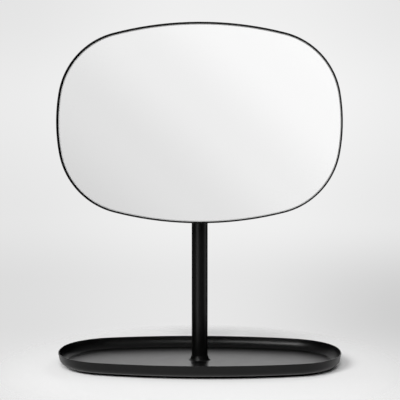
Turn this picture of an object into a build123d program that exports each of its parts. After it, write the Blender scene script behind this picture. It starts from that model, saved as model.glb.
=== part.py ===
"""Table mirror that tilts on a round post, standing on a shallow tray.

The tray is a pressed steel dish whose floor has a conical boss. A steel tube stands on the boss and is
pulled down by a screw from below. The tube's top holds a plug with a flat tang. The mirror's bracket has
two ears that clamp the tang between nylon washers, so the mirror tilts and stays where it is put.

Millimetres. +Z is up, +X is to the right of a person who looks into the mirror, and that person is on
the -Y side. The origin is on the table, under the middle of the tray.
"""
import os
from math import atan2, cos, degrees, hypot, radians, sin, sqrt, tan

from build123d import *

# ---- tray: a shallow dish, its outline three arcs in each quarter
tray_half_width = 168.0
tray_half_depth = 87.5
tray_bow_radius = 480.0
tray_side_radius = 116.0
tray_corner_radius = 68.0
tray_height = 13.7
tray_sheet = 1.0
tray_draft = 12.0
tray_bend_radius = 8.3
tray_rim_round = 0.4

# ---- boss pressed up in the tray floor, under the post
boss_height = 5.8
boss_top_radius = 9.7
boss_flare_radius = 3.5
boss_wall_angle = 70.0
boss_edge_round = 0.5

# ---- pad under the tray
pad_thickness = 3.8
pad_margin = 7.0
pad_hole_radius = 19.0

# ---- post
post_setback = 4.0
post_diameter = 19.0
post_wall = 1.5
pivot_height = 286.9

# ---- plug in the foot of the post, with its screw and washer
foot_plug_length = 24.0
base_screw_diameter = 8.0
base_screw_length = 25.0
base_head_diameter = 14.0
base_head_height = 4.4
base_key_size = 5.0
base_key_depth = 2.6
base_washer_diameter = 15.0
base_washer_thickness = 1.6

# ---- plug in the top of the post
hinge_plug_length = 25.0
shoulder_height = 4.0
shoulder_drop = 12.0
shoulder_chamfer = 0.5
tang_thickness = 8.0
tang_width = 14.0
tang_root_round = 1.0
grub_diameter = 5.0
grub_length = 5.0
grub_recess = 0.3
grub_drop = 13.0
grub_key_size = 2.5
grub_key_depth = 2.2

# ---- mirror pan and glass, the outline three arcs in each quarter
mirror_half_width = 165.0
mirror_half_height = 115.6
mirror_bow_radius = 399.2
mirror_side_radius = 202.3
mirror_corner_radius = 85.7
pan_depth = 9.0
pan_sheet = 1.3
pan_bend_radius = 3.5
pan_lip_round = 0.5
pan_field_inset = 18.0
pan_field_height = 1.5
pan_field_slope = 45.0
pan_field_round = 1.0
glass_thickness = 3.0
glass_recess = 1.5
glass_edge_gap = 0.4
glass_arris = 0.4

# ---- foam tapes between glass and pan
tape_width = 22.0
tape_lengths = (230.0, 150.0)
tape_heights = (42.0, 74.0)

# ---- hinge bracket
hinge_reach = 24.0
bracket_plate = 2.0
bracket_width = 58.0
bracket_height = 42.0
bracket_corner_radius = 7.0
ear_thickness = 2.0
ear_radius = 9.5
ear_weld = 1.2
stop_angle = 85.0
stop_gap = 0.1
stop_nose_start = 1.0
stop_nose_width = 5.0

# ---- bracket screws and the nuts pressed into the pan
bracket_screw_diameter = 4.0
bracket_screw_length = 6.0
bracket_screw_pitch_x = 42.0
bracket_screw_pitch_z = 26.0
bracket_head_diameter = 8.0
bracket_head_height = 2.6
bracket_slot_width = 1.0
bracket_slot_length = 4.6
bracket_slot_depth = 1.4
clinch_flange_diameter = 7.6
clinch_flange_height = 2.0
clinch_shank_diameter = 5.6

# ---- pivot bolt and what it clamps
pivot_diameter = 6.0
pivot_length = 25.0
pivot_head_diameter = 10.5
pivot_head_height = 3.3
pivot_key_size = 4.0
pivot_key_depth = 2.0
friction_washer_diameter = 14.0
friction_washer_thickness = 1.0
spring_diameter = 12.5
spring_sheet = 0.7
spring_free_height = 1.0
spring_count = 2
thrust_washer_diameter = 12.0
thrust_washer_thickness = 1.2
nut_width = 10.0
nut_height = 6.0
nut_chamfer = 0.6
nut_ring_diameter = 8.4
nut_ring_height = 1.8

# ---- clearances, all radial
press_clearance = 0.02
thread_clearance = 0.03
pivot_clearance = 0.05
bolt_hole_clearance = 0.25

# ---- places worked out from the sizes
floor_under = pad_thickness
floor_top = floor_under + tray_sheet
rim_top = floor_under + tray_height
boss_top = floor_top + boss_height
post_radius = post_diameter / 2
post_bore = post_radius - post_wall
post_top = pivot_height - shoulder_drop - shoulder_height
pan_back = post_setback - hinge_reach
pan_front = pan_back - pan_depth
glass_front = pan_front + glass_recess
glass_back = glass_front + glass_thickness
tape_thickness = pan_back - pan_sheet - glass_back
ear_inner = tang_thickness / 2 + friction_washer_thickness
ear_outer = ear_inner + ear_thickness
pivot_radius = pivot_diameter / 2
pivot = Vector(0, post_setback, pivot_height)


def wall_inset(height):
    """How far the tray's straight wall lies inside the rim, at a height over the floor's underside."""
    return (tray_height - height) * tan(radians(tray_draft))


def flat_inset():
    """How far the flat of the floor's underside ends inside the rim."""
    lean = radians(tray_draft)
    return wall_inset(0) + tray_bend_radius * (1 - sin(lean)) / cos(lean)


def soft_oval(half_x, half_y, bow, side, corner):
    """A flat face with long bowed edges, bowed ends, and corner arcs tangent to both."""
    bow_y = half_y - bow
    side_x = half_x - side
    between = hypot(side_x, bow_y)
    along = (between ** 2 + (bow - corner) ** 2 - (side - corner) ** 2) / (2 * between)
    away = sqrt((bow - corner) ** 2 - along ** 2)
    corner_x = (side_x * along - bow_y * away) / between
    corner_y = bow_y + (-bow_y * along - side_x * away) / between
    side_turn = degrees(atan2(corner_y, corner_x - side_x))
    bow_turn = degrees(atan2(corner_y - bow_y, corner_x))
    corner_sweep = bow_turn - side_turn
    arcs = [
        (side_x, 0, side, -side_turn, 2 * side_turn),
        (corner_x, corner_y, corner, side_turn, corner_sweep),
        (0, bow_y, bow, bow_turn, 180 - 2 * bow_turn),
        (-corner_x, corner_y, corner, 180 - bow_turn, corner_sweep),
        (-side_x, 0, side, 180 - side_turn, 2 * side_turn),
        (-corner_x, -corner_y, corner, 180 + side_turn, corner_sweep),
        (0, -bow_y, bow, 180 + bow_turn, 180 - 2 * bow_turn),
        (corner_x, -corner_y, corner, -bow_turn, corner_sweep),
    ]
    return make_face([CenterArc((x, y), radius, start, sweep) for x, y, radius, start, sweep in arcs])


def tray_outline(inset):
    """The tray's plan, drawn in from its rim."""
    return soft_oval(
        tray_half_width - inset,
        tray_half_depth - inset,
        tray_bow_radius - inset,
        tray_side_radius - inset,
        tray_corner_radius - inset,
    )


def mirror_outline(inset):
    """The mirror's outline, drawn in from the pan's outside."""
    return soft_oval(
        mirror_half_width - inset,
        mirror_half_height - inset,
        mirror_bow_radius - inset,
        mirror_side_radius - inset,
        mirror_corner_radius - inset,
    )


def upright(depth_from, face):
    """A flat outline stood up at a depth along Y, so that extruding it by a plus goes to +Y."""
    return Plane(origin=(0, depth_from, pivot_height), x_dir=(-1, 0, 0), z_dir=(0, 1, 0)) * face


def along_x(x, shape):
    """A part turned so that its own Z axis lies on the pivot axis, pointing to +X, its base at x."""
    return Plane(origin=(x, pivot.Y, pivot.Z), x_dir=(0, 1, 0), z_dir=(1, 0, 0)) * shape


def ring(outer, inner, height):
    """A flat washer standing on the ground plane."""
    return extrude(Circle(outer) - Circle(inner), height)


def domed_head(diameter, height):
    """A button head hanging under the ground plane, its dome a part of one sphere."""
    radius = diameter / 2
    dome = (radius ** 2 + height ** 2) / (2 * height)
    return extrude(Circle(radius), -height) & Pos(0, 0, dome - height) * Sphere(dome)


def hex_socket(size, depth):
    """The solid that a hexagon key takes out of a screw head, from the ground plane up."""
    return extrude(RegularPolygon(size / 2, 6, major_radius=False), depth)


def dish(inset, low, bend):
    """A solid tray-shaped lump from a height to the rim, its foot rounded by the bend's radius."""
    height = rim_top - low
    foot = tray_outline(inset + wall_inset(low - floor_under))
    lump = Pos(0, 0, low) * extrude(foot, height, taper=-tray_draft)
    return fillet(lump.edges().group_by(Axis.Z)[0], bend)


def boss_section(grow):
    """Half section of the boss as a flat face on XZ: of its hollow, or grown by the sheet's thickness."""
    turn = radians(boss_wall_angle)
    flare = boss_flare_radius + tray_sheet - grow
    rise = boss_height - boss_flare_radius * (1 - cos(turn))
    foot = boss_top_radius + boss_flare_radius * sin(turn) + rise / tan(turn)
    level = floor_under + grow
    top = boss_top - tray_sheet + grow
    centre_z = floor_top + boss_flare_radius
    start = (foot, level)
    middle = (foot - flare * sin(turn / 2), centre_z - flare * cos(turn / 2))
    end = (foot - flare * sin(turn), centre_z - flare * cos(turn))
    rim = (end[0] - (top - end[1]) / tan(turn), top)
    below = level - tray_sheet
    outline = [
        Line((0, below), (foot, below)),
        Line((foot, below), start),
        ThreePointArc(start, middle, end),
        Line(end, rim),
        Line(rim, (0, top)),
        Line((0, top), (0, below)),
    ]
    return Plane.XZ * make_face(outline)


def tray():
    """Pressed steel dish: flared wall, flat floor, and the boss with its screw hole."""
    outside = dish(0, floor_under, tray_bend_radius)
    inside = dish(tray_sheet / cos(radians(tray_draft)), floor_top, tray_bend_radius - tray_sheet)
    shell = outside - inside
    shell = fillet(shell.edges().group_by(Axis.Z)[-1], tray_rim_round)
    boss = revolve(boss_section(tray_sheet), Axis.Z)
    boss = fillet(boss.edges().group_by(Axis.Z)[-1], boss_edge_round)
    hollow = revolve(boss_section(0), Axis.Z)
    place = Pos(0, post_setback, 0)
    screw_hole = extrude(Circle(base_screw_diameter / 2 + bolt_hole_clearance), rim_top)
    return shell + place * boss - place * (hollow + screw_hole)


def anti_slip_pad():
    """Foam rubber sheet glued under the flat of the floor, open round the boss."""
    sheet = extrude(tray_outline(flat_inset() + pad_margin), pad_thickness)
    return sheet - Pos(0, post_setback, 0) * extrude(Circle(pad_hole_radius), pad_thickness)


def post_tube():
    """Round tube from the boss to the hinge plug's shoulder, with the grub screw's hole in its back."""
    tube = Pos(0, post_setback, boss_top) * ring(post_radius, post_bore, post_top - boss_top)
    return tube - grub_hole()


def at_grub(shape):
    """A part turned so that its own Z axis points into the post from the grub screw's outer end."""
    outer_end = post_setback + post_radius - grub_recess
    return Plane(origin=(0, outer_end, post_top - grub_drop), z_dir=(0, -1, 0)) * shape


def grub_hole():
    """The hole that the grub screw sits in, open to the outside of the tube."""
    hole = Circle(grub_diameter / 2 + thread_clearance)
    return at_grub(extrude(hole, grub_length) + extrude(hole, -post_wall))


def foot_plug():
    """Threaded plug in the tube's foot."""
    bore = base_screw_diameter / 2 + thread_clearance
    plug = ring(post_bore - press_clearance, bore, foot_plug_length)
    return Pos(0, post_setback, boss_top) * plug


def base_screw():
    """Button-head screw up through the boss, its head inside the hollow."""
    head = domed_head(base_head_diameter, base_head_height)
    shank = extrude(Circle(base_screw_diameter / 2), base_screw_length)
    socket = Pos(0, 0, -base_head_height) * hex_socket(base_key_size, base_key_depth)
    seat = boss_top - tray_sheet - base_washer_thickness
    return Pos(0, post_setback, seat) * (head + shank - socket)


def base_washer():
    """Washer between the screw's head and the boss."""
    bore = base_screw_diameter / 2 + bolt_hole_clearance
    washer = ring(base_washer_diameter / 2, bore, base_washer_thickness)
    return Pos(0, post_setback, boss_top - tray_sheet - base_washer_thickness) * washer


def hinge_plug():
    """Plug in the tube's top: spigot, shoulder and the flat tang that the ears clamp."""
    spigot = extrude(Circle(post_bore - press_clearance), -hinge_plug_length)
    shoulder = extrude(Circle(post_radius), shoulder_height)
    shoulder = chamfer(shoulder.edges().group_by(Axis.Z)[-1], shoulder_chamfer)
    body = Pos(0, post_setback, post_top) * (spigot + shoulder)
    neck = Pos(0, 0, -shoulder_drop / 2) * Box(tang_thickness, tang_width, shoulder_drop)
    eye = extrude(Circle(tang_width / 2), tang_thickness / 2, both=True)
    body = body + Pos(pivot) * neck + along_x(0, eye)
    shoulder_top = pivot_height - shoulder_drop
    root = body.edges().filter_by(GeomType.LINE).filter_by(Axis.Y)
    root = [edge for edge in root if abs(edge.center().Z - shoulder_top) < tang_root_round]
    body = fillet(root, tang_root_round)
    bore = extrude(Circle(pivot_radius + pivot_clearance), post_diameter, both=True)
    return body - along_x(0, bore) - grub_hole()


def plug_grub_screw():
    """Grub screw through the back of the tube into the hinge plug."""
    screw = extrude(Circle(grub_diameter / 2), grub_length)
    return at_grub(screw - hex_socket(grub_key_size, grub_key_depth))


def pan_lump(inset):
    """The pan as a solid lump, or the hollow inside its sheet where an inset is given."""
    wall = pan_depth - pan_field_height
    lump = upright(pan_front, extrude(mirror_outline(inset), wall - inset))
    lump = fillet(lump.edges().group_by(Axis.Y)[-1], pan_bend_radius - inset)
    slope = radians(pan_field_slope)
    field = mirror_outline(pan_field_inset + inset * tan(slope / 2))
    raised = extrude(field, pan_field_height, taper=pan_field_slope)
    return lump + upright(pan_front + wall - inset, raised)


def head_pan():
    """Pressed pan: raised field on its back, a short wall and a rounded lip round the glass."""
    outside = pan_lump(0)
    crease = outside.edges().group_by(Axis.Y)[-1] + outside.edges().group_by(Axis.Y)[-2]
    outside = fillet(crease, pan_field_round)
    pan = outside - pan_lump(pan_sheet)
    pan = fillet(pan.edges().group_by(Axis.Y)[0], pan_lip_round)
    hole = extrude(Circle(clinch_shank_diameter / 2 + press_clearance), pan_depth, both=True)
    for place in bracket_screw_places(pan_back):
        pan = pan - place * hole
    return pan


def bracket_screw_places(depth):
    """The four screw places at a depth along Y, each with its Z axis pointing forward to -Y."""
    places = []
    for side_x in (-1, 1):
        for side_z in (-1, 1):
            x = side_x * bracket_screw_pitch_x / 2
            z = pivot_height + side_z * bracket_screw_pitch_z / 2
            places.append(Plane(origin=(x, depth, z), x_dir=(1, 0, 0), z_dir=(0, -1, 0)))
    return places


def mirror_glass():
    """Float glass pane with ground edges, silvered on its back."""
    pane = upright(glass_front, extrude(mirror_outline(pan_sheet + glass_edge_gap), glass_thickness))
    rims = pane.edges().group_by(Axis.Y)
    return chamfer(rims[0] + rims[-1], glass_arris)


def mounting_tapes():
    """Strips of foam tape that hold the glass to the pan, above and below the nuts."""
    tapes = []
    for length, height in zip(tape_lengths, tape_heights):
        for side in (-1, 1):
            centre = Pos(0, glass_back + tape_thickness / 2, pivot_height + side * height)
            tapes.append(centre * Box(length, tape_thickness, tape_width))
    return tapes


def ear_side():
    """Side view of one ear, its Z axis along the pivot: round end, straight sides and the stop nose."""
    arm = hinge_reach - bracket_plate
    side = Circle(ear_radius) + Pos(-arm / 2, 0) * Rectangle(arm, 2 * ear_radius)
    reach = shoulder_drop - stop_gap
    nose = Pos(stop_nose_start + stop_nose_width / 2, -reach / 2) * Rectangle(stop_nose_width, reach)
    return side + Rot(0, 0, stop_angle) * nose


def hinge_bracket():
    """Plate on the pan's back with two welded ears, bored for the pivot bolt."""
    plate = RectangleRounded(bracket_width, bracket_height, bracket_corner_radius)
    front = Plane(origin=(0, pan_back, pivot_height), x_dir=(-1, 0, 0), z_dir=(0, 1, 0))
    bracket = front * extrude(plate, bracket_plate)
    for start in (-ear_outer, ear_inner):
        bracket = bracket + along_x(start, extrude(ear_side(), ear_thickness))
    plate_back = pan_back + bracket_plate
    root = bracket.edges().filter_by(GeomType.LINE).filter_by(Axis.Z)
    root = [edge for edge in root if abs(edge.center().Y - plate_back) < ear_weld / 2]
    root = [edge for edge in root if abs(abs(edge.center().X) - ear_outer) < ear_weld / 2]
    bracket = fillet(root, ear_weld)
    bore = extrude(Circle(pivot_radius + pivot_clearance), ear_outer * 2, both=True)
    bracket = bracket - along_x(0, bore)
    hole = extrude(Circle(bracket_screw_diameter / 2 + bolt_hole_clearance), bracket_plate)
    for place in bracket_screw_places(plate_back):
        bracket = bracket - place * hole
    return bracket


def bracket_screws():
    """Domed cross-slot screws through the bracket into the pressed-in nuts."""
    head = domed_head(bracket_head_diameter, bracket_head_height)
    shank = extrude(Circle(bracket_screw_diameter / 2), bracket_screw_length)
    deep = Pos(0, 0, -bracket_head_height + bracket_slot_depth / 2)
    cross = deep * Box(bracket_slot_length, bracket_slot_width, bracket_slot_depth)
    cross = cross + deep * Box(bracket_slot_width, bracket_slot_length, bracket_slot_depth)
    screw = head + shank - cross
    return [place * screw for place in bracket_screw_places(pan_back + bracket_plate)]


def clinch_nuts():
    """Round nuts pressed into the pan's back from inside, flush with its outside."""
    bore = bracket_screw_diameter / 2 + thread_clearance
    shank = ring(clinch_shank_diameter / 2, bore, pan_sheet)
    flange = Pos(0, 0, pan_sheet) * ring(clinch_flange_diameter / 2, bore, clinch_flange_height)
    nut = shank + flange
    return [place * nut for place in bracket_screw_places(pan_back)]


def pivot_bolt():
    """Button-head bolt through both ears and the tang."""
    head = domed_head(pivot_head_diameter, pivot_head_height)
    shank = extrude(Circle(pivot_radius), pivot_length)
    socket = Pos(0, 0, -pivot_head_height) * hex_socket(pivot_key_size, pivot_key_depth)
    return along_x(-ear_outer, head + shank - socket)


def friction_washers():
    """Nylon washers, one on each side of the tang."""
    bore = pivot_radius + pivot_clearance
    washer = ring(friction_washer_diameter / 2, bore, friction_washer_thickness)
    return [along_x(start, washer) for start in (-ear_inner, tang_thickness / 2)]


def disc_springs():
    """Conical disc springs stacked mouth to mouth against the ear."""
    inner = pivot_radius + pivot_clearance
    outer = spring_diameter / 2
    rise = spring_free_height - spring_sheet
    corners = [(inner, rise), (outer, 0), (outer, spring_sheet), (inner, spring_free_height)]
    cup = revolve(Plane.XZ * make_face(Polyline(*corners, close=True)), Axis.Z)
    cups = []
    for place in range(spring_count):
        base = place * spring_free_height
        turned = cup
        if place % 2 == 0:
            turned = Pos(0, 0, spring_free_height) * Rot(180, 0, 0) * cup
        cups.append(along_x(ear_outer, Pos(0, 0, base) * turned))
    return cups


def thrust_washer():
    """Plain washer between the springs and the nut."""
    start = nut_start() - thrust_washer_thickness
    bore = pivot_radius + pivot_clearance
    return along_x(start, ring(thrust_washer_diameter / 2, bore, thrust_washer_thickness))


def nut_start():
    """Where the lock nut begins along the pivot axis."""
    return ear_outer + spring_count * spring_free_height + thrust_washer_thickness


def lock_nut():
    """Hexagon nut with a round collar that holds the nylon ring."""
    hexagon = extrude(RegularPolygon(nut_width / 2, 6, major_radius=False), nut_height)
    corner = nut_width / sqrt(3)
    turned = extrude(Circle(corner), nut_height)
    turned = chamfer(turned.edges(), nut_chamfer)
    nut = hexagon & turned
    nut = nut - extrude(Circle(pivot_radius + thread_clearance), nut_height)
    seat = extrude(Circle(nut_ring_diameter / 2), nut_ring_height)
    return along_x(nut_start(), nut - Pos(0, 0, nut_height - nut_ring_height) * seat)


def lock_nut_ring():
    """Nylon ring at the outer end of the lock nut, which grips the bolt's thread."""
    outer = nut_ring_diameter / 2 - press_clearance
    washer = ring(outer, pivot_radius + press_clearance, nut_ring_height)
    return along_x(nut_start() + nut_height - nut_ring_height, washer)


def write(name, shape):
    """Writes one piece, or a group of like pieces, under its own name."""
    if isinstance(shape, list):
        shape = Compound(children=[Part(piece.wrapped) for piece in shape])
    export_step(shape, f"parts/{name}.step")


os.makedirs("parts", exist_ok=True)
pieces = [
    tray, anti_slip_pad, post_tube, foot_plug, base_screw, base_washer, hinge_plug, plug_grub_screw,
    head_pan, mirror_glass, mounting_tapes, hinge_bracket, bracket_screws, clinch_nuts,
    pivot_bolt, friction_washers, disc_springs, thrust_washer, lock_nut, lock_nut_ring,
]
for piece in pieces:
    write(piece.__name__, piece())
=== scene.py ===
"""Table mirror that tilts on a round post over a shallow tray: looks, stage and camera.

Metres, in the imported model's frame. +Z is up, +X is to the right of a person who looks into the mirror,
and that person is on the -Y side. The origin is on the table, under the middle of the tray.
"""
from math import cos, hypot, radians, sin, sqrt, tan

import bpy
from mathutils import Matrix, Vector


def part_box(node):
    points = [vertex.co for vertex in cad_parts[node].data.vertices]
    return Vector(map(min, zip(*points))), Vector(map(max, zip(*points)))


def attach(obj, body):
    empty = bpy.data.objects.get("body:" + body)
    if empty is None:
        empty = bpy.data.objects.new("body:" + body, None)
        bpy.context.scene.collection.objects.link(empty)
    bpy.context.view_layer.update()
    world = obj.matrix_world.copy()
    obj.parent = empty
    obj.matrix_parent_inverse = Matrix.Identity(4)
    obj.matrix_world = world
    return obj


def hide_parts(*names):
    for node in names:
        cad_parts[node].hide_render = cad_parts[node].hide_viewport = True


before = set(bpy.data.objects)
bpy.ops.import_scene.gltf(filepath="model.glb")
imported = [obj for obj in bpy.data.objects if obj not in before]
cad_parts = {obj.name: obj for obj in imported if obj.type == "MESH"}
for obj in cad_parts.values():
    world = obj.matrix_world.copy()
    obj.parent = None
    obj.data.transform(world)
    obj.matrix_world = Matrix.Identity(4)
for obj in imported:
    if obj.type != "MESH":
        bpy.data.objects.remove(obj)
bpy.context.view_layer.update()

MM = 0.001
SMOOTH_ANGLE = radians(30)


# ---- colours and nodes

def linear(hex_colour):
    """An sRGB hex colour as the linear colour that a shader's socket takes."""
    channels = []
    for start in (1, 3, 5):
        value = int(hex_colour[start:start + 2], 16) / 255
        value = value / 12.92 if value <= 0.04045 else ((value + 0.055) / 1.055) ** 2.4
        channels.append(value)
    return (*channels, 1.0)


def add_node(tree, kind, settings=None, links=None):
    """A node with its settings, which are sockets or properties, and the outputs that feed its sockets."""
    node = tree.nodes.new(kind)
    for name, value in (settings or {}).items():
        if isinstance(name, int) or name in node.inputs:
            node.inputs[name].default_value = value
        else:
            setattr(node, name, value)
    for name, source in (links or {}).items():
        tree.links.new(source, node.inputs[name])
    return node


def new_finish(name, settings):
    """A new material with one surface shader, and the tree to add its patterns to."""
    material = bpy.data.materials.new(name)
    material.use_nodes = True
    tree = material.node_tree
    tree.nodes.clear()
    shader = add_node(tree, "ShaderNodeBsdfPrincipled", settings)
    add_node(tree, "ShaderNodeOutputMaterial", links={"Surface": shader.outputs["BSDF"]})
    return material, tree, shader


def on_surface(tree):
    """The place of a point on its own piece, in metres."""
    return add_node(tree, "ShaderNodeTexCoord").outputs["Object"]


def satin_black_powder_coat():
    # Baked polyester powder over pressed steel: near-black and satin, with the slight orange peel of flowed
    # powder, about 1.4 mm wide. Its gloss wanders a little from place to place, over some 17 mm.
    peel_size = 10 * MM / 7
    film_size = 100 * MM / 6
    material, tree, shader = new_finish("satin_black_powder_coat", {
        "Base Color": linear("#050505"), "IOR": 1.5, "Specular IOR Level": 0.24})
    place = on_surface(tree)
    peel = add_node(tree, "ShaderNodeTexNoise", {"Scale": 1.0 / peel_size, "Detail": 2.0, "Roughness": 0.5},
                    {"Vector": place})
    relief(tree, shader, peel.outputs["Fac"], 0.03 * MM, 0.2)
    film = add_node(tree, "ShaderNodeTexNoise", {"Scale": 1.0 / film_size, "Detail": 3.0}, {"Vector": place})
    gloss = add_node(tree, "ShaderNodeMapRange", {"To Min": 0.33, "To Max": 0.39},
                     {"Value": film.outputs["Fac"]})
    tree.links.new(gloss.outputs["Result"], shader.inputs["Roughness"])
    return material


def float_glass():
    # Clear soda-lime float glass, 3 mm.
    return new_finish("float_glass", {
        "Base Color": linear("#FFFFFF"), "IOR": 1.52, "Roughness": 0.0, "Transmission Weight": 1.0})[0]


def silvering():
    # Wet-applied silver behind the glass, under copper and paint: a true mirror.
    return new_finish("silvering", {
        "Base Color": linear("#FEFEFE"), "Metallic": 1.0, "Roughness": 0.0})[0]


def mottle(tree, place, size, dark, light):
    """Soft patches of two tones, of a given size in metres."""
    patches = add_node(tree, "ShaderNodeTexNoise", {"Scale": 1.0 / size, "Detail": 3.0}, {"Vector": place})
    tones = add_node(tree, "ShaderNodeValToRGB", links={"Fac": patches.outputs["Fac"]})
    tones.color_ramp.elements[0].position = 0.35
    tones.color_ramp.elements[0].color = linear(dark)
    tones.color_ramp.elements[1].position = 0.65
    tones.color_ramp.elements[1].color = linear(light)
    return tones.outputs["Color"]


def uneven(tree, place, size, low, high):
    """A value that wanders between two limits over patches of a given size in metres."""
    patches = add_node(tree, "ShaderNodeTexNoise", {"Scale": 1.0 / size, "Detail": 3.0}, {"Vector": place})
    spread = add_node(tree, "ShaderNodeMapRange", {
        "From Min": 0.3, "From Max": 0.7, "To Min": low, "To Max": high}, {"Value": patches.outputs["Fac"]})
    return spread.outputs["Result"]


def relief(tree, shader, height, depth, strength):
    """Bumps a surface by a pattern of a given depth in metres."""
    bump = add_node(tree, "ShaderNodeBump", {"Strength": strength, "Distance": depth}, {"Height": height})
    tree.links.new(bump.outputs["Normal"], shader.inputs["Normal"])


def closed_cell_foam_rubber():
    # Die-cut EVA foam: dull black, its skin pitted by cut cells of about a third of a millimetre.
    material, tree, shader = new_finish("closed_cell_foam_rubber", {
        "IOR": 1.5, "Specular IOR Level": 0.05, "Roughness": 0.95})
    place = on_surface(tree)
    tree.links.new(mottle(tree, place, 2.0 * MM, "#060606", "#0B0B0B"), shader.inputs["Base Color"])
    cells = add_node(tree, "ShaderNodeTexVoronoi", {"Scale": 1.0 / (0.35 * MM)}, {"Vector": place})
    relief(tree, shader, cells.outputs["Distance"], 0.12 * MM, 0.6)
    return material


def acrylic_foam_tape():
    # Double-sided acrylic foam: off-white, soft, faintly cloudy, with no gloss.
    material, tree, shader = new_finish("acrylic_foam_tape", {
        "IOR": 1.49, "Roughness": 0.75, "Subsurface Weight": 0.15, "Subsurface Scale": 0.6 * MM,
        "Subsurface Radius": (1.0, 1.0, 1.0)})
    place = on_surface(tree)
    tree.links.new(mottle(tree, place, 3.0 * MM, "#CFCEC9", "#DBDAD6"), shader.inputs["Base Color"])
    grain = add_node(tree, "ShaderNodeTexNoise", {"Scale": 1.0 / (0.25 * MM), "Detail": 1.0},
                     {"Vector": place})
    relief(tree, shader, grain.outputs["Fac"], 0.05 * MM, 0.4)
    return material


def clear_zinc_plate():
    # Barrel-plated zinc with a clear passivate: cool silver, clouded, a little scuffed by tumbling.
    material, tree, shader = new_finish("clear_zinc_plate", {"Metallic": 1.0})
    place = on_surface(tree)
    tree.links.new(mottle(tree, place, 1.5 * MM, "#A9ADB1", "#C7CACC"), shader.inputs["Base Color"])
    tree.links.new(uneven(tree, place, 0.8 * MM, 0.26, 0.42), shader.inputs["Roughness"])
    scuff = add_node(tree, "ShaderNodeTexNoise", {"Scale": 1.0 / (0.5 * MM), "Detail": 4.0, "Roughness": 0.7},
                     {"Vector": place})
    relief(tree, shader, scuff.outputs["Fac"], 0.01 * MM, 0.5)
    return material


def black_oxide_steel():
    # Machined and blackened screw steel: blue-black with an oily sheen and fine marks from the tool.
    material, tree, shader = new_finish("black_oxide_steel", {"Metallic": 1.0})
    place = on_surface(tree)
    tree.links.new(mottle(tree, place, 1.2 * MM, "#27282A", "#38393B"), shader.inputs["Base Color"])
    tree.links.new(uneven(tree, place, 0.6 * MM, 0.30, 0.46), shader.inputs["Roughness"])
    marks = add_node(tree, "ShaderNodeTexNoise", {"Scale": 1.0 / (0.3 * MM), "Detail": 3.0},
                     {"Vector": place})
    relief(tree, shader, marks.outputs["Fac"], 0.008 * MM, 0.5)
    return material


def phosphated_spring_steel():
    # Hardened strip with a phosphate skin: matt warm grey, its crystals a fine even grain.
    material, tree, shader = new_finish("phosphated_spring_steel", {"Metallic": 1.0})
    place = on_surface(tree)
    tree.links.new(mottle(tree, place, 0.7 * MM, "#4C4A47", "#6B6864"), shader.inputs["Base Color"])
    tree.links.new(uneven(tree, place, 0.3 * MM, 0.48, 0.62), shader.inputs["Roughness"])
    crystals = add_node(tree, "ShaderNodeTexVoronoi", {"Scale": 1.0 / (0.12 * MM)}, {"Vector": place})
    relief(tree, shader, crystals.outputs["Distance"], 0.01 * MM, 0.5)
    return material


def natural_nylon():
    # Moulded polyamide without pigment: milky, waxy, light passes a little way in.
    material, tree, shader = new_finish("natural_nylon", {
        "IOR": 1.53, "Subsurface Weight": 0.3, "Subsurface Scale": 1.0 * MM,
        "Subsurface Radius": (1.0, 0.9, 0.8)})
    place = on_surface(tree)
    tree.links.new(mottle(tree, place, 2.5 * MM, "#DDD9CD", "#E8E5DB"), shader.inputs["Base Color"])
    tree.links.new(uneven(tree, place, 1.0 * MM, 0.42, 0.52), shader.inputs["Roughness"])
    return material


def dress(material, *names):
    """Gives CAD nodes a finish in place of the plain one that they came with."""
    for name in names:
        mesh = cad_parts[name].data
        mesh.materials.clear()
        mesh.materials.append(material)


dress(satin_black_powder_coat(), "tray", "post_tube", "hinge_plug", "head_pan", "hinge_bracket")
dress(closed_cell_foam_rubber(), "anti_slip_pad")
dress(acrylic_foam_tape(), "mounting_tapes")
dress(clear_zinc_plate(), "foot_plug", "base_washer", "clinch_nuts", "thrust_washer", "lock_nut")
dress(black_oxide_steel(), "base_screw", "plug_grub_screw", "bracket_screws", "pivot_bolt")
dress(phosphated_spring_steel(), "disc_springs")
dress(natural_nylon(), "friction_washers", "lock_nut_ring")


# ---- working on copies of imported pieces

def deselect():
    """Leaves nothing selected, so that the next operator acts on its own piece alone."""
    if bpy.context.object and bpy.context.object.mode != "OBJECT":
        bpy.ops.object.mode_set(mode="OBJECT")
    bpy.ops.object.select_all(action="DESELECT")


def copy_of_node(node, name):
    """A merged copy of a CAD node as a piece of its own, to be worked on."""
    deselect()
    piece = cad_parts[node].copy()
    piece.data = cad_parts[node].data.copy()
    piece.name = name
    piece.parent = None
    # A copy inherits the node's custom properties, and this one starts without any.
    for key in list(piece.keys()):
        del piece[key]
    bpy.context.scene.collection.objects.link(piece)
    piece.select_set(True)
    bpy.context.view_layer.objects.active = piece
    bpy.ops.object.mode_set(mode="EDIT")
    bpy.ops.mesh.select_all(action="SELECT")
    bpy.ops.mesh.customdata_custom_splitnormals_clear()
    bpy.ops.mesh.remove_doubles(threshold=0.001 * MM)
    bpy.ops.object.mode_set(mode="OBJECT")
    return piece


def select_faces(piece, wanted):
    """Selects the faces of a piece that a test on their centre and normal picks, and goes into edit mode."""
    bpy.context.view_layer.objects.active = piece
    bpy.ops.object.mode_set(mode="EDIT")
    bpy.ops.mesh.select_mode(type="FACE")
    bpy.ops.mesh.select_all(action="DESELECT")
    bpy.ops.object.mode_set(mode="OBJECT")
    for face in piece.data.polygons:
        face.select = wanted(face.center, face.normal)
    bpy.ops.object.mode_set(mode="EDIT")


# ---- mirror pane

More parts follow.
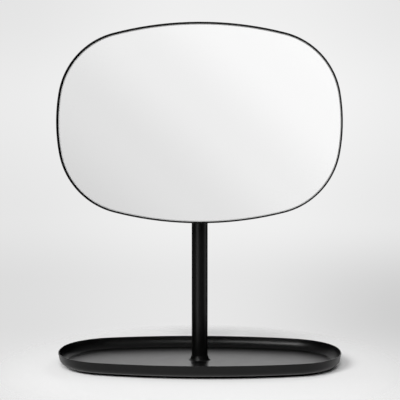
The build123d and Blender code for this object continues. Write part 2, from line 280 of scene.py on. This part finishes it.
def mirror_pane():
    """The glass pane, clear in front and silvered on its back, which stands a coat of paint off the tapes."""
    paint = 0.06 * MM
    pane = copy_of_node("mirror_glass", "mirror_pane")
    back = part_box("mirror_glass")[1].y
    select_faces(pane, lambda centre, normal: normal.y > 0.99 and centre.y > back - paint)
    bpy.ops.transform.translate(value=(0, -paint, 0))
    bpy.ops.object.mode_set(mode="OBJECT")
    silvered = [face.select for face in pane.data.polygons]
    # The pane is cut a little small about the pan's middle, which is as high as the pivot. It also lies off
    # that middle, with the wider gap at the left and the top.
    middle_height = 286.9 * MM
    cut = 0.9968
    off_right = 0.45 * MM
    off_down = 0.12 * MM
    bpy.ops.object.mode_set(mode="EDIT")
    bpy.ops.mesh.select_all(action="SELECT")
    bpy.ops.transform.resize(value=(cut, 1, cut), center_override=(0, 0, middle_height))
    bpy.ops.transform.translate(value=(off_right, 0, -off_down))
    bpy.ops.object.mode_set(mode="OBJECT")
    pane.data.materials.clear()
    pane.data.materials.append(float_glass())
    pane.data.materials.append(silvering())
    for face, silver in zip(pane.data.polygons, silvered):
        face.material_index = 1 if silver else 0
    bpy.ops.object.shade_smooth_by_angle(angle=SMOOTH_ANGLE)
    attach(pane, "head")
    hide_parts("mirror_glass")


mirror_pane()


# ---- tray

def tray_shell():
    """The tray with a wide soft bend from floor to wall, as the photo suggests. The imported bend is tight."""
    tight = 7.3 * MM
    wide = 12.0 * MM
    floor = 4.8 * MM
    draft = radians(12)
    boss_reach = 40 * MM
    # A rise of 0 is the bend's foot on the floor. The slack is a share of the tight radius.
    slack = 0.001
    shell = copy_of_node("tray", "tray_shell")
    # A wider bend between the same floor and wall has its centre further in and further up.
    centre_shift = tan((radians(90) - draft) / 2)
    for point in shell.data.vertices:
        rise = (point.co.z - floor) / tight
        on_bend = -slack < rise < 1 + slack - sin(draft)
        inside = point.normal.z >= 0.1 and hypot(point.co.x, point.co.y) >= boss_reach
        if not (on_bend and inside):
            continue
        # The point goes to the place on the wide bend where the surface leans as it does here.
        sine = 1 - rise
        cosine = sqrt(max(0.0, 1 - sine * sine))
        inward = Vector((point.normal.x, point.normal.y, 0)).normalized()
        point.co += (wide - tight) * (inward * (centre_shift - cosine) + Vector((0, 0, 1 - sine)))
    bpy.ops.object.shade_smooth_by_angle(angle=SMOOTH_ANGLE)
    bpy.ops.object.modifier_add(type="WEIGHTED_NORMAL")
    shell.modifiers[-1].weight = 100
    shell.modifiers[-1].keep_sharp = True
    bpy.ops.object.modifier_apply(modifier=shell.modifiers[-1].name)
    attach(shell, "base")
    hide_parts("tray")


tray_shell()


# ---- stage

def white_laminate():
    """A matt white table finish that fades out into the backdrop, from one distance to another."""
    # Matt white melamine laminate with no gloss to speak of: it shows the object's shadow and nothing else.
    fade_from = 0.18
    fade_to = 0.27
    material = bpy.data.materials.new("white_laminate")
    material.use_nodes = True
    tree = material.node_tree
    tree.nodes.clear()
    lit = add_node(tree, "ShaderNodeBsdfDiffuse", {"Color": linear("#E8E8E8")})
    reach = add_node(tree, "ShaderNodeVectorMath", {"operation": "LENGTH"}, {0: on_surface(tree)})
    fade = slope(tree, reach.outputs["Value"], fade_from, fade_to)
    clear = add_node(tree, "ShaderNodeBsdfTransparent")
    mix = add_node(tree, "ShaderNodeMixShader", links={
        0: fade, 1: lit.outputs["BSDF"], 2: clear.outputs["BSDF"]})
    add_node(tree, "ShaderNodeOutputMaterial", links={"Surface": mix.outputs["Shader"]})
    return material


def table_top():
    """A round pale table under the object, wider than its finish can be seen."""
    deselect()
    bpy.ops.mesh.primitive_circle_add(vertices=96, radius=0.6, fill_type="NGON", location=(0, 0, 0))
    floor = bpy.context.object
    floor.name = "table_top"
    floor.data.materials.append(white_laminate())


def ramp(tree, source, stops):
    """A tone that follows a direction's component, from stops of place and grey level between 0 and 255."""
    low = stops[0][0]
    high = stops[-1][0]
    span = add_node(tree, "ShaderNodeMapRange", {"From Min": low, "From Max": high}, {"Value": source})
    node = add_node(tree, "ShaderNodeValToRGB", links={"Fac": span.outputs["Result"]})
    points = node.color_ramp.elements
    node.color_ramp.interpolation = "EASE"
    while len(points) < len(stops):
        points.new(0.5)
    for point, (place, level) in zip(points, stops):
        point.position = (place - low) / (high - low)
        point.color = linear("#" + f"{level:02X}" * 3)
    return node.outputs["Color"]


def slope(tree, source, start, end, low=0.0, high=1.0):
    """A smooth step of a value between two places."""
    node = add_node(tree, "ShaderNodeMapRange", {
        "interpolation_type": "SMOOTHSTEP",
        "From Min": start, "From Max": end, "To Min": low, "To Max": high}, {"Value": source})
    return node.outputs["Result"]


def calc(tree, operation, first, second=None):
    """One sum of two values, each an output or a number."""
    node = add_node(tree, "ShaderNodeMath", {"operation": operation})
    for socket, value in enumerate((first, second)):
        if value is None:
            continue
        if isinstance(value, (int, float)):
            node.inputs[socket].default_value = value
        else:
            tree.links.new(value, node.inputs[socket])
    return node.outputs[0]


def blend(tree, share, first, second):
    """A colour between two colours, each an output or a colour."""
    # The node has sockets for each data type. These are the ones for colours.
    inputs = (6, 7)
    output = 2
    node = add_node(tree, "ShaderNodeMix", {"data_type": "RGBA"}, {0: share})
    for socket, value in zip(inputs, (first, second)):
        if isinstance(value, tuple):
            node.inputs[socket].default_value = value
        else:
            tree.links.new(value, node.inputs[socket])
    return node.outputs[output]


def near(tree, source, place, reach):
    """1 where a value is at a place, falling softly to 0 at a reach from it."""
    return slope(tree, calc(tree, "ABSOLUTE", calc(tree, "SUBTRACT", source, place)), 0.0, reach, 1.0, 0.0)


def bearing(turn, height):
    """The direction at a turn to the right of the viewer's side and a height over the table, in degrees."""
    level = cos(radians(height))
    return Vector((sin(radians(turn)) * level, -cos(radians(turn)) * level, sin(radians(height))))


def card(tree, way, turn, height, reach, strength):
    """A round card with a soft edge in the surroundings, which fades out at its reach, in degrees."""
    full_reach = reach / 4
    facing = add_node(tree, "ShaderNodeVectorMath", {"operation": "DOT_PRODUCT", 1: bearing(turn, height)},
                      {0: way})
    return slope(tree, facing.outputs["Value"], cos(radians(reach)), cos(radians(full_reach)), 0.0, strength)


def backdrop(tree, x, y, z):
    """The backdrop's colour and strength as the camera sees it, and its tones by height alone."""
    # Brightest behind the mirror, falling off to both sides and down to the table's far edge.
    height = ramp(tree, z, [(-0.26, 244), (-0.215, 237), (-0.175, 231), (-0.14, 231), (-0.07, 240),
                            (0.05, 246), (0.15, 239), (0.30, 234)])
    sides = slope(tree, calc(tree, "ABSOLUTE", x), 0.03, 0.24, 1.0, 0.90)
    # A painted shadow: a soft dim patch low at the right of the backdrop.
    painted_shadow_depth = 0.16
    painted_shadow = calc(tree, "MULTIPLY", near(tree, x, 0.19, 0.22), near(tree, z, -0.165, 0.09))
    dim = calc(tree, "SUBTRACT", 1.0, calc(tree, "MULTIPLY", painted_shadow, painted_shadow_depth))
    # All of this is only beyond the object. A camera that looks from another side sees a plain pale grey.
    beyond = slope(tree, y, -0.2, 0.5)
    colour = blend(tree, beyond, linear("#E6E6E6"), height)
    shade = calc(tree, "SUBTRACT", calc(tree, "MULTIPLY", sides, dim), 1.0)
    strength = calc(tree, "ADD", 1.0, calc(tree, "MULTIPLY", shade, beyond))
    return colour, strength, height


def paper_in_pane(tree, x, y, z, height):
    """The colour that the pane shows: pale paper on the viewer's side, and the backdrop's tones beyond."""
    # The paper is darker to the lower left and brighter to the upper right.
    to_right = 0.55
    to_top = 0.60
    tilt = calc(tree, "ADD", calc(tree, "MULTIPLY", x, to_right), calc(tree, "MULTIPLY", z, to_top))
    paper = ramp(tree, tilt, [(-0.14, 208), (-0.05, 226), (0.01, 238), (0.07, 249), (0.12, 252)])
    return blend(tree, slope(tree, y, -0.35, 0.15), paper, height)


def light_in_gloss(tree, way, z):
    """The strength of the light that glossy surfaces show."""
    # The lit backdrop in four soft cards.
    screen = card(tree, way, 180, 22, 24, 1.12)
    screen_foot = card(tree, way, 180, 12, 15, 0.80)
    screen_left = card(tree, way, -150, 22, 24, 0.66)
    screen_top = card(tree, way, 180, 45, 24, 0.40)
    # A strip low at the front left, a card low at the right, and two small strong keys high at the left.
    strip = card(tree, way, -32, -14, 24, 2.2)
    side = card(tree, way, 90, -14, 24, 1.2)
    key = card(tree, way, -36, 43, 10, 26.0)
    key_front = card(tree, way, -14, 44, 9, 15.0)
    # A low card behind, the pale ground under the horizon and a faint dome overhead keep the shapes readable
    # from all sides.
    back = card(tree, way, 180, -40, 34, 2.0)
    ground = slope(tree, z, -0.15, -0.35, 0.0, 0.6)
    dome = slope(tree, z, 0.35, 0.95, 0.0, 0.2)
    gloss = ground
    for part in (screen, screen_foot, screen_left, screen_top, strip, side, key, key_front, back, dome):
        gloss = calc(tree, "ADD", gloss, part)
    return gloss


def studio():
    """The surroundings, which the camera, the pane, gloss and matt surfaces each see in their own way."""
    world = bpy.data.worlds.new("studio")
    bpy.context.scene.world = world
    world.use_nodes = True
    tree = world.node_tree
    tree.nodes.clear()
    white = linear("#FFFFFF")
    way = add_node(tree, "ShaderNodeTexCoord").outputs["Generated"]
    parts = add_node(tree, "ShaderNodeSeparateXYZ", links={0: way})
    x, y, z = (parts.outputs[name] for name in "XYZ")
    colour, strength, height = backdrop(tree, x, y, z)
    paper = paper_in_pane(tree, x, y, z, height)
    gloss = light_in_gloss(tree, way, z)
    path = add_node(tree, "ShaderNodeLightPath")
    seen = add_node(tree, "ShaderNodeBackground", links={"Color": colour, "Strength": strength})
    in_pane = add_node(tree, "ShaderNodeBackground", {"Strength": 1.05}, {"Color": paper})
    in_gloss = add_node(tree, "ShaderNodeBackground", {"Color": white}, {"Strength": gloss})
    # Matt surfaces get a little even light from here, and the rest from the lamps.
    light = add_node(tree, "ShaderNodeBackground", {"Color": white, "Strength": 0.05})
    views = (("Is Glossy Ray", in_gloss), ("Is Transmission Ray", in_pane), ("Is Camera Ray", seen))
    for ray, source in views:
        light = add_node(tree, "ShaderNodeMixShader", links={
            0: path.outputs[ray], 1: light.outputs[0], 2: source.outputs[0]})
    add_node(tree, "ShaderNodeOutputWorld", links={"Surface": light.outputs[0]})


def softbox(name, turn, height, power):
    """A square studio lamp for matt surfaces. What gloss and glass show instead is in the surroundings."""
    side = 1.2
    distance = 3.6
    target = Vector((0, 0, 0.1))
    lamp = bpy.data.lights.new(name, "AREA")
    lamp.size = side
    lamp.energy = power
    holder = bpy.data.objects.new(name, lamp)
    holder.location = bearing(turn, height) * distance
    aim = target - holder.location
    holder.rotation_euler = aim.to_track_quat("-Z", "Y").to_euler()
    holder.visible_glossy = False
    holder.visible_transmission = False
    bpy.context.scene.collection.objects.link(holder)


def camera():
    """The photograph's view, from a joint fit of the tray, mirror and post."""
    stand = (0.0304, -1.150, 0.2589)
    look_down = 3.093
    turn_left = 1.490
    focal_length = 87.56
    lens = bpy.data.cameras.new("camera")
    lens.sensor_width = 36.0
    lens.lens = focal_length
    lens.clip_start = 0.01
    lens.clip_end = 50.0
    holder = bpy.data.objects.new("camera", lens)
    holder.location = stand
    holder.rotation_euler = (radians(90 - look_down), 0.0, radians(turn_left))
    bpy.context.scene.collection.objects.link(holder)
    bpy.context.scene.camera = holder


table_top()
studio()
softbox("key_softbox", turn=-30, height=32, power=104.0)
softbox("front_softbox", turn=0, height=32, power=103.0)
softbox("top_softbox", turn=0, height=88, power=11.0)
softbox("back_right_softbox", turn=135, height=45, power=10.0)
camera()
bpy.context.scene.view_settings.view_transform = "Standard"
